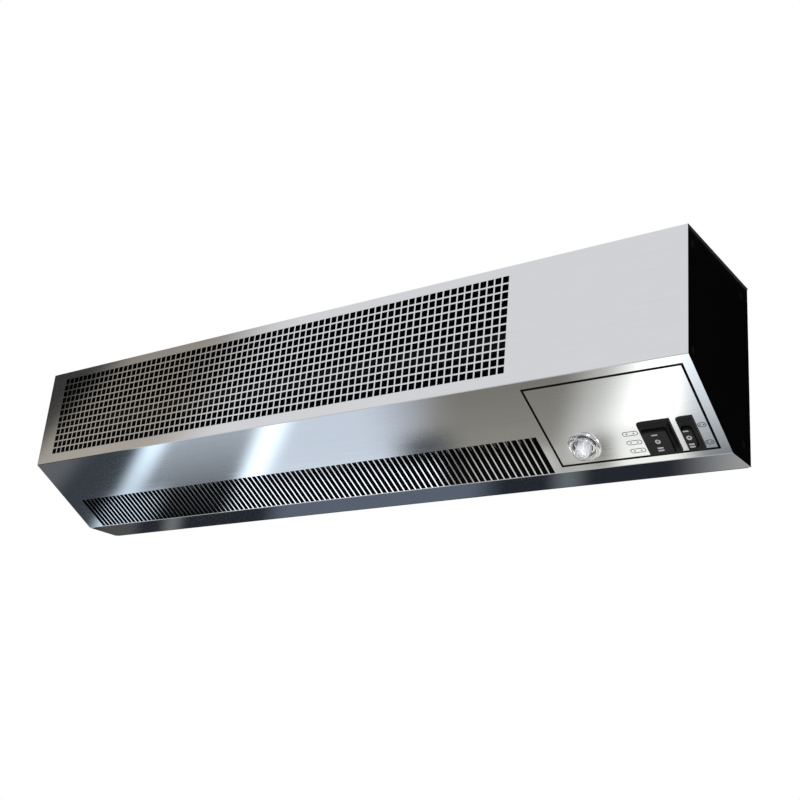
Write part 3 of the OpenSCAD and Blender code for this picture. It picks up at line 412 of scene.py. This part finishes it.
# Every finish: the shader's own values, the two colours that a pattern mixes, the size of that
# pattern in mm along X, Y and Z, the least and the most roughness it gives, and its bump as a
# strength and a height in mm. Without a roughness pair the shader's own value holds.
finishes = {
    # Stainless sheet, satin ground along its length and then polished: mirror-like with a fine
    # grain. The real grain is 0.1 mm wide and is drawn 1 mm wide so that it shows.
    "satinStainless": {
        "shader": {"Metallic": 1.0},
        "colours": ("#ced0d3", "#d2d3d6"), "pattern": (60, 1, 1), "detail": 3,
        "roughness": (0.06, 0.08), "bump": (0.006, 0.02),
    },
    # Powder coat baked on steel, for the parts inside the casing: matt, with orange peel about
    # 1.5 mm across. Its near-black colour is painted shade, standing in for the darkness inside
    # the casing seen through the grille's holes and the slots.
    "paintedShadePowderCoat": {
        "shader": {"Specular IOR Level": 0.25},
        "colours": ("#050505", "#080809"), "pattern": (1.5, 1.5, 1.5),
        "roughness": (0.7, 0.85), "bump": (0.2, 0.05),
    },
    # Moulded black ABS end caps: fine spark-eroded texture, 0.4 mm drawn at 0.8 mm.
    "blackCapPlastic": {
        "shader": {"Specular IOR Level": 0.06, "IOR": 1.5},
        "colours": ("#010101", "#020202"), "pattern": (0.8, 0.8, 0.8),
        "roughness": (0.3, 0.38), "bump": (0.1, 0.02),
    },
    # Moulded nylon switch housings: satin black, with faint moulding flow.
    "blackSwitchNylon": {
        "shader": {"Specular IOR Level": 0.2, "IOR": 1.5},
        "colours": ("#080809", "#0e0e0f"), "pattern": (3, 9, 3),
        "roughness": (0.36, 0.48), "bump": (0.08, 0.03),
    },
    # Rockers of the same nylon with a fine spark finish: a shade greyer and more matt.
    "greyRockerNylon": {
        "shader": {"Specular IOR Level": 0.25, "IOR": 1.5},
        "colours": ("#121213", "#191a1b"), "pattern": (0.8, 0.8, 0.8),
        "roughness": (0.42, 0.55), "bump": (0.1, 0.02),
    },
    # Glass-filled polypropylene fan, mottled by the fibres. Its near-black colour is painted
    # shade, standing in for the darkness inside the casing behind the grille.
    "fanMoulding": {
        "shader": {"Specular IOR Level": 0.15, "IOR": 1.49},
        "colours": ("#060607", "#0b0b0c"), "pattern": (6, 2, 2),
        "roughness": (0.5, 0.65), "bump": (0.1, 0.05),
    },
    # EPDM rubber: deep matt black with a slight bloom.
    "blackRubber": {
        "shader": {"Specular IOR Level": 0.05, "IOR": 1.5},
        "colours": ("#030303", "#060606"), "pattern": (2, 2, 2),
        "roughness": (0.7, 0.85), "bump": (0.1, 0.03),
    },
    # Sintered bronze bush: brown gold with dark pores 0.3 mm wide, drawn at 0.6 mm.
    "sinteredBronze": {
        "shader": {"Metallic": 1.0},
        "colours": ("#8a6a3c", "#b08a52"), "pattern": (0.6, 0.6, 0.6),
        "roughness": (0.4, 0.55), "bump": (0.2, 0.03),
    },
    # Turned steel with bright zinc: fine rings round the axis, drawn 0.8 mm apart.
    "brightZincSteel": {
        "shader": {"Metallic": 1.0},
        "colours": ("#b4b8bc", "#c8ccd0"), "pattern": (0.8, 6, 6),
        "roughness": (0.22, 0.34), "bump": (0.08, 0.02),
    },
    # Screws with black zinc: nearly black with a blue cast.
    "blackZincSteel": {
        "shader": {"Metallic": 0.3, "Specular IOR Level": 0.1},
        "colours": ("#050507", "#0a0a0d"), "pattern": (1, 1, 1),
        "roughness": (0.4, 0.5), "bump": (0.05, 0.02),
    },
    # Yellow polyester tape wound over the coil, in 4 mm laps.
    "coilTape": {
        "shader": {"Specular IOR Level": 0.5, "Coat Weight": 0.2},
        "colours": ("#a87a20", "#c39634"), "pattern": (4, 40, 40),
        "roughness": (0.3, 0.42), "bump": (0.3, 0.1),
    },
    # Die-cast aluminium: pale grey with a soft cast skin, 2 mm mottling.
    "castAluminium": {
        "shader": {"Metallic": 1.0},
        "colours": ("#a8aaac", "#bec0c2"), "pattern": (2, 2, 2),
        "roughness": (0.42, 0.55), "bump": (0.15, 0.05),
    },
    # Heater tube and fins: steel browned by heat in patches about 15 mm long.
    "heatTintedSteel": {
        "shader": {"Metallic": 1.0},
        "colours": ("#57504a", "#7d7a78"), "pattern": (15, 5, 5),
        "roughness": (0.35, 0.5), "bump": (0.08, 0.03),
    },
    # Ivory nylon and glazed ceramic insulators: pale, slightly waxy.
    "ivoryInsulator": {
        "shader": {"Specular IOR Level": 0.5, "IOR": 1.53},
        "colours": ("#d9d2bd", "#e4dfcf"), "pattern": (5, 5, 5),
        "roughness": (0.35, 0.5), "bump": (0.05, 0.03),
    },
    # Glass-epoxy board under green lacquer: the weave shows at 1 mm.
    "greenCircuitBoard": {
        "shader": {"Specular IOR Level": 0.5, "Coat Weight": 0.4},
        "colours": ("#1d4a2a", "#265a35"), "pattern": (1, 1, 1), "kind": "cells",
        "roughness": (0.3, 0.4), "bump": (0.1, 0.02),
    },
    # Tinned brass tabs: pale gold, brushed by the stamping tool.
    "tinnedBrass": {
        "shader": {"Metallic": 1.0},
        "colours": ("#b3a878", "#cbc29a"), "pattern": (0.6, 5, 5),
        "roughness": (0.25, 0.38), "bump": (0.05, 0.02),
    },
    # Clear polycarbonate, moulded thin in a polished mould: see-through and glossy, with faint
    # flow marks about 4 mm apart.
    "clearPolycarbonate": {
        "shader": {"Transmission Weight": 1.0, "IOR": 1.45, "Roughness": 0.0},
        "colours": ("#f7f7f5", "#fbfbfa"), "pattern": (4, 4, 4),
        "bump": (0.004, 0.02),
    },
    # Milky polyethylene lens: bluish white and waxy, with a little light coming through.
    "milkyLens": {
        "shader": {"Transmission Weight": 0.1, "IOR": 1.51, "Coat Weight": 0.5},
        "colours": ("#e2e6f4", "#f2f4fc"), "pattern": (3, 3, 3),
        "roughness": (0.22, 0.32), "bump": (0.05, 0.03),
    },
    # White pad-printed marks on the rockers: matt ink, uneven at 0.5 mm.
    "whiteInk": {
        "shader": {"Specular IOR Level": 0.3},
        "colours": ("#b4b4b4", "#cacaca"), "pattern": (0.5, 0.5, 0.5),
        "roughness": (0.5, 0.65), "bump": (0.05, 0.01),
    },
    # Dark screen-printed ink on the steel panel: thin and slightly glossy.
    "darkInk": {
        "shader": {"Specular IOR Level": 0.3},
        "colours": ("#101011", "#18181a"), "pattern": (0.5, 0.5, 0.5),
        "roughness": (0.4, 0.55), "bump": (0.05, 0.01),
    },
}


# What part of a noise's range, which keeps near its middle, goes from the first colour to the
# second, and the noise's detail where a finish gives none.
patternBasics = {"least": 0.3, "most": 0.7, "detail": 2}


def makeFinish(name, values):
    # The pattern mixes the two colours and moves the roughness; a bump raises the same pattern.
    material = bpy.data.materials.new(name)
    material.use_nodes = True
    tree = material.node_tree
    shader = tree.nodes["Principled BSDF"]
    for socket, value in values["shader"].items():
        shader.inputs[socket].default_value = value
    coords = addNode(tree, "ShaderNodeTexCoord")
    scaled = addNode(tree, "ShaderNodeMapping",
                     {"Scale": [1000 / size for size in values["pattern"]]},
                     {"Vector": coords.outputs["Object"]})
    if values.get("kind") == "cells":
        pattern = addNode(tree, "ShaderNodeTexVoronoi", {"Scale": 1.0},
                          {"Vector": scaled.outputs[0]})
        height = addNode(tree, "ShaderNodeSeparateColor", None, {0: pattern.outputs["Color"]})
    else:
        pattern = addNode(tree, "ShaderNodeTexNoise",
                          {"Scale": 1.0, "Detail": values.get("detail", patternBasics["detail"])},
                          {"Vector": scaled.outputs[0]})
        height = pattern
    value = height.outputs[0]
    share = addNode(tree, "ShaderNodeMapRange", {
        "From Min": patternBasics["least"], "From Max": patternBasics["most"],
    }, {"Value": value})
    low, high = values["colours"]
    colour = addNode(tree, "ShaderNodeMix",
                     {"data_type": "RGBA", 6: linearColour(low), 7: linearColour(high)},
                     {0: share.outputs[0]})
    if "roughness" in values:
        least, most = values["roughness"]
        rough = addNode(tree, "ShaderNodeMapRange", {"To Min": least, "To Max": most},
                        {"Value": share.outputs[0]})
        tree.links.new(rough.outputs[0], shader.inputs["Roughness"])
    strength, distance = values["bump"]
    bump = addNode(tree, "ShaderNodeBump",
                   {"Strength": strength, "Distance": distance / 1000}, {"Height": value})
    tree.links.new(colour.outputs[2], shader.inputs["Base Color"])
    tree.links.new(bump.outputs[0], shader.inputs["Normal"])
    return material


finish = {name: makeFinish(name, values) for name, values in finishes.items()}

# Which nodes have which finish.
dressed = {
    "satinStainless": ("intake_panel", "outlet_panel", "top_panel", "control_panel"),
    "paintedShadePowderCoat": ("rear_chassis", "bearing_plate", "motor_partition", "scroll_wall",
                        "vortex_tongue"),
    "blackCapPlastic": ("left_end_cap", "right_end_cap", "gland_body", "gland_nut",
                        "gland_locknut", "sensor_holder"),
    "blackSwitchNylon": ("main_switch", "small_switch"),
    "greyRockerNylon": ("main_rocker", "small_rocker"),
    "fanMoulding": ("impeller", "drive_hub", "board_parts", "thermal_cutout"),
    "blackRubber": ("panel_seal", "bearing_rubber"),
    "sinteredBronze": ("bearing_bush",),
    "brightZincSteel": ("stub_shaft", "motor_shaft", "motor_posts", "cover_screws",
                        "terminal_screws", "sensor_can", "motor_rotor", "motor_core"),
    "blackZincSteel": ("cap_screws",),
    "coilTape": ("motor_coil",),
    "castAluminium": ("inner_bracket", "outer_bracket"),
    "heatTintedSteel": ("heating_element", "front_fins", "rear_fins", "heater_bracket"),
    "ivoryInsulator": ("heater_bushes", "terminal_block", "board_standoffs"),
    "greenCircuitBoard": ("control_board", "sensor_board"),
    "tinnedBrass": ("main_switch_tabs", "small_switch_tabs"),
    "clearPolycarbonate": ("sensor_collar", "sensor_dome"),
    "milkyLens": ("sensor_lens",),
    "whiteInk": ("main_rocker_marks", "small_rocker_marks"),
}
for name, members in dressed.items():
    for member in members:
        nodes[member].data.materials.clear()
        nodes[member].data.materials.append(finish[name])
print("finishes given to", sum(len(members) for members in dressed.values()), "nodes")

# The movement sensor's axis on the sloped face: how far along the casing from its middle, and
# how far down the slope from the fold, in metres. Its pieces' own sizes are in mm.
sensorAxis = (0.25, 0.07033)


def onSensor(local):
    # Points as metres from the foot of the sensor's axis: along the casing, down the slope, out.
    return onSlope(sensorAxis[0] + local[..., 0], sensorAxis[1] + local[..., 1], local[..., 2])


def turned(profile, columns):
    # Radius and height stay with the profile's point while it goes round the sensor's axis.
    profile = np.array(profile) / 1000
    turn = np.linspace(0, 2 * np.pi, columns, endpoint=False)[None, :]
    radius, height = profile[:, :1], profile[:, 1:]
    return onSensor(np.stack([radius * np.cos(turn), radius * np.sin(turn),
                              height + 0 * turn], -1))


def addSensorPiece(name, node, points, faces, material, smooth=True):
    piece = addMesh(name, points, faces, material, smooth)
    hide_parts(node)
    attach(piece, "casing")
    return piece


# Clear dome of the sensor's cover, a thin shell on a short skirt.
clearDome = {
    "radius": 9.8, "wall": 0.6, "centre": 2.3, "foot": 0.02, "poleTilt": 0.01,
    "rows": 40, "columns": 128,
}


def domeProfile(values):
    # Down the outer quarter circle and its skirt, then up the inner ones, starting and ending
    # just off the axis, where one small face closes each pole.
    tilt = np.linspace(values["poleTilt"], np.pi / 2, values["rows"])
    rows = []
    for radius in (values["radius"], values["radius"] - values["wall"]):
        arc = np.stack([radius * np.sin(tilt), values["centre"] + radius * np.cos(tilt)], 1)
        rows.append(np.concatenate([arc, [[radius, values["foot"]]]]))
    return np.concatenate([rows[0], rows[1][::-1]])


points = turned(domeProfile(clearDome), clearDome["columns"])
piece = addSensorPiece("clearDome", "sensor_dome", points,
                       shellFaces(*points.shape[:2]), finish["clearPolycarbonate"])
piece.visible_shadow = False

# Clear collar of the same cover: a flared wall about 1 mm thick that holds the dome. Its
# profile is a closed loop of radius and height over the panel, up the outside and down the
# inside. That order turns its faces inwards: listed the other way round they point outwards,
# and the plastic looks a little calmer.
clearCollar = {
    "profile": (
        (13.25, 0.02), (13.3, 0.1), (13.3, 0.8), (13.1, 1.15), (12.4, 1.5), (11.75, 2.1),
        (11.42, 2.9), (11.27, 3.4), (11.05, 3.6), (10.1, 3.6), (9.86, 3.4), (9.86, 2.9),
        (10.62, 2.86), (10.74, 2.7), (11.1, 1.8), (11.9, 0.95), (12.6, 0.7), (12.6, 0.02),
    ),
    "columns": 128,
}
points = turned(clearCollar["profile"], clearCollar["columns"])
piece = addSensorPiece("clearCollar", "sensor_collar", points,
                       gridFaces(*points.shape[:2], ring=True).tolist(),
                       finish["clearPolycarbonate"])
piece.visible_shadow = False
print("sensor cover made")

# Moulded lens under the cover: a dome of flat facets on a short sleeve. Each ring of facets
# has its tilt from the axis and its count; planeShare sinks their planes into the sphere.
facetedLens = {
    "radius": 6.3, "wall": 0.7, "centre": 4.2, "foot": -5.0,
    "rings": (0.0, 0.45, 0.85, 1.22, 1.5), "count": (1, 6, 12, 16, 18), "planeShare": 0.975,
    "poleTilt": 0.004, "rows": 60, "columns": 144,
}


def directions(tilt, turn):
    # Unit vectors at a tilt from the axis and a turn about it.
    return np.stack([np.sin(tilt) * np.cos(turn), np.sin(tilt) * np.sin(turn),
                     np.cos(tilt) + 0 * turn], -1)


def lensSurface(values):
    # A direction's distance is the least at which it meets one of the facets' planes or the
    # sphere; below the dome the radius stays and the height falls. The inside is the outside
    # drawn in by the wall.
    middles = np.concatenate([
        directions(tilt, 2 * np.pi * np.arange(count) / count)
        for tilt, count in zip(values["rings"], values["count"])
    ])
    tilt = np.linspace(values["poleTilt"], np.pi / 2, values["rows"])[:, None]
    turn = np.linspace(0, 2 * np.pi, values["columns"], endpoint=False)[None, :]
    rays = directions(tilt, turn)
    planes = values["planeShare"] * values["radius"] / (rays @ middles.T).max(-1)
    dome = rays * np.minimum(planes, values["radius"])[..., None]
    foot = dome[-1] + np.array([0, 0, values["foot"] - values["centre"]])
    inner = 1 - values["wall"] / values["radius"]
    outside = np.concatenate([dome, foot[None]])
    inside = outside[::-1] * np.array([inner, inner, 1.0])
    inside[1:, :, 2] *= inner
    local = np.concatenate([outside, inside]) + np.array([0, 0, values["centre"]])
    return onSensor(local / 1000)


points = lensSurface(facetedLens)
addSensorPiece("facetedLens", "sensor_lens", points,
               shellFaces(*points.shape[:2]), finish["milkyLens"], smooth=False)
print("sensor lens made")

# Signs printed beside the switches: rounded outlines, each with two plain dots inside. Places
# are as the sensor's axis is given, in metres; sizes are in mm, and a dot's spread is the
# share of the sign's length from its middle.
printedSigns = {
    "places": ((0.2908, 0.0636), (0.2908, 0.0725), (0.2908, 0.0807),
               (0.3470, 0.0640), (0.3470, 0.0809)),
    "length": (12.6, 12.6, 12.6, 6.6, 6.6),
    "height": 4.2, "line": 0.48, "lift": 0.06, "steps": 14,
    "dotLength": 1.44, "dotHeight": 0.96, "dotHole": 0.05, "dotSpread": 0.22, "dotSteps": 6,
}


def signOutline(length, height, steps):
    # A rounded end at each side: half circles of half the height, joined by straight lines.
    turn = np.concatenate([np.linspace(-np.pi / 2, np.pi / 2, steps),
                           np.linspace(np.pi / 2, 3 * np.pi / 2, steps)])
    side = np.repeat([1, -1], steps) * (length - height) / 2
    return np.stack([side + height / 2 * np.cos(turn), height / 2 * np.sin(turn)], 1)


def signBand(wide, narrow, lift):
    # A flat band between two outlines, as four rows: up its inside and down its outside.
    rows = [(narrow, 0.0), (narrow, lift), (wide, lift), (wide, 0.0)]
    return np.stack([np.column_stack([row, np.full(len(row), height)]) for row, height in rows])


def signSurface(values):
    # Each sign is one band round it, and each dot a small band that all but fills itself.
    height, line, lift = values["height"], values["line"], values["lift"]
    dot = signOutline(values["dotLength"], values["dotHeight"], values["dotSteps"])
    dotBand = signBand(dot, dot * values["dotHole"], lift)
    points, faces, start = [], [], 0
    for (x, s), length in zip(values["places"], values["length"]):
        outer = signOutline(length, height, values["steps"])
        inner = signOutline(length - 2 * line, height - 2 * line, values["steps"])
        spread = values["dotSpread"] * length
        for band, shift in ((signBand(outer, inner, lift), 0), (dotBand, -spread),
                            (dotBand, spread)):
            points.append(onSlope(x + (band[..., 0] + shift) / 1000, s + band[..., 1] / 1000,
                                  band[..., 2] / 1000).reshape(-1, 3))
            faces.extend((gridFaces(*band.shape[:2], ring=True) + start).tolist())
            start += len(points[-1])
    return np.concatenate(points), faces


points, faces = signSurface(printedSigns)
piece = addMesh("printedSigns", points, faces, finish["darkInk"], smooth=False)
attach(piece, "casing")
print("signs printed")
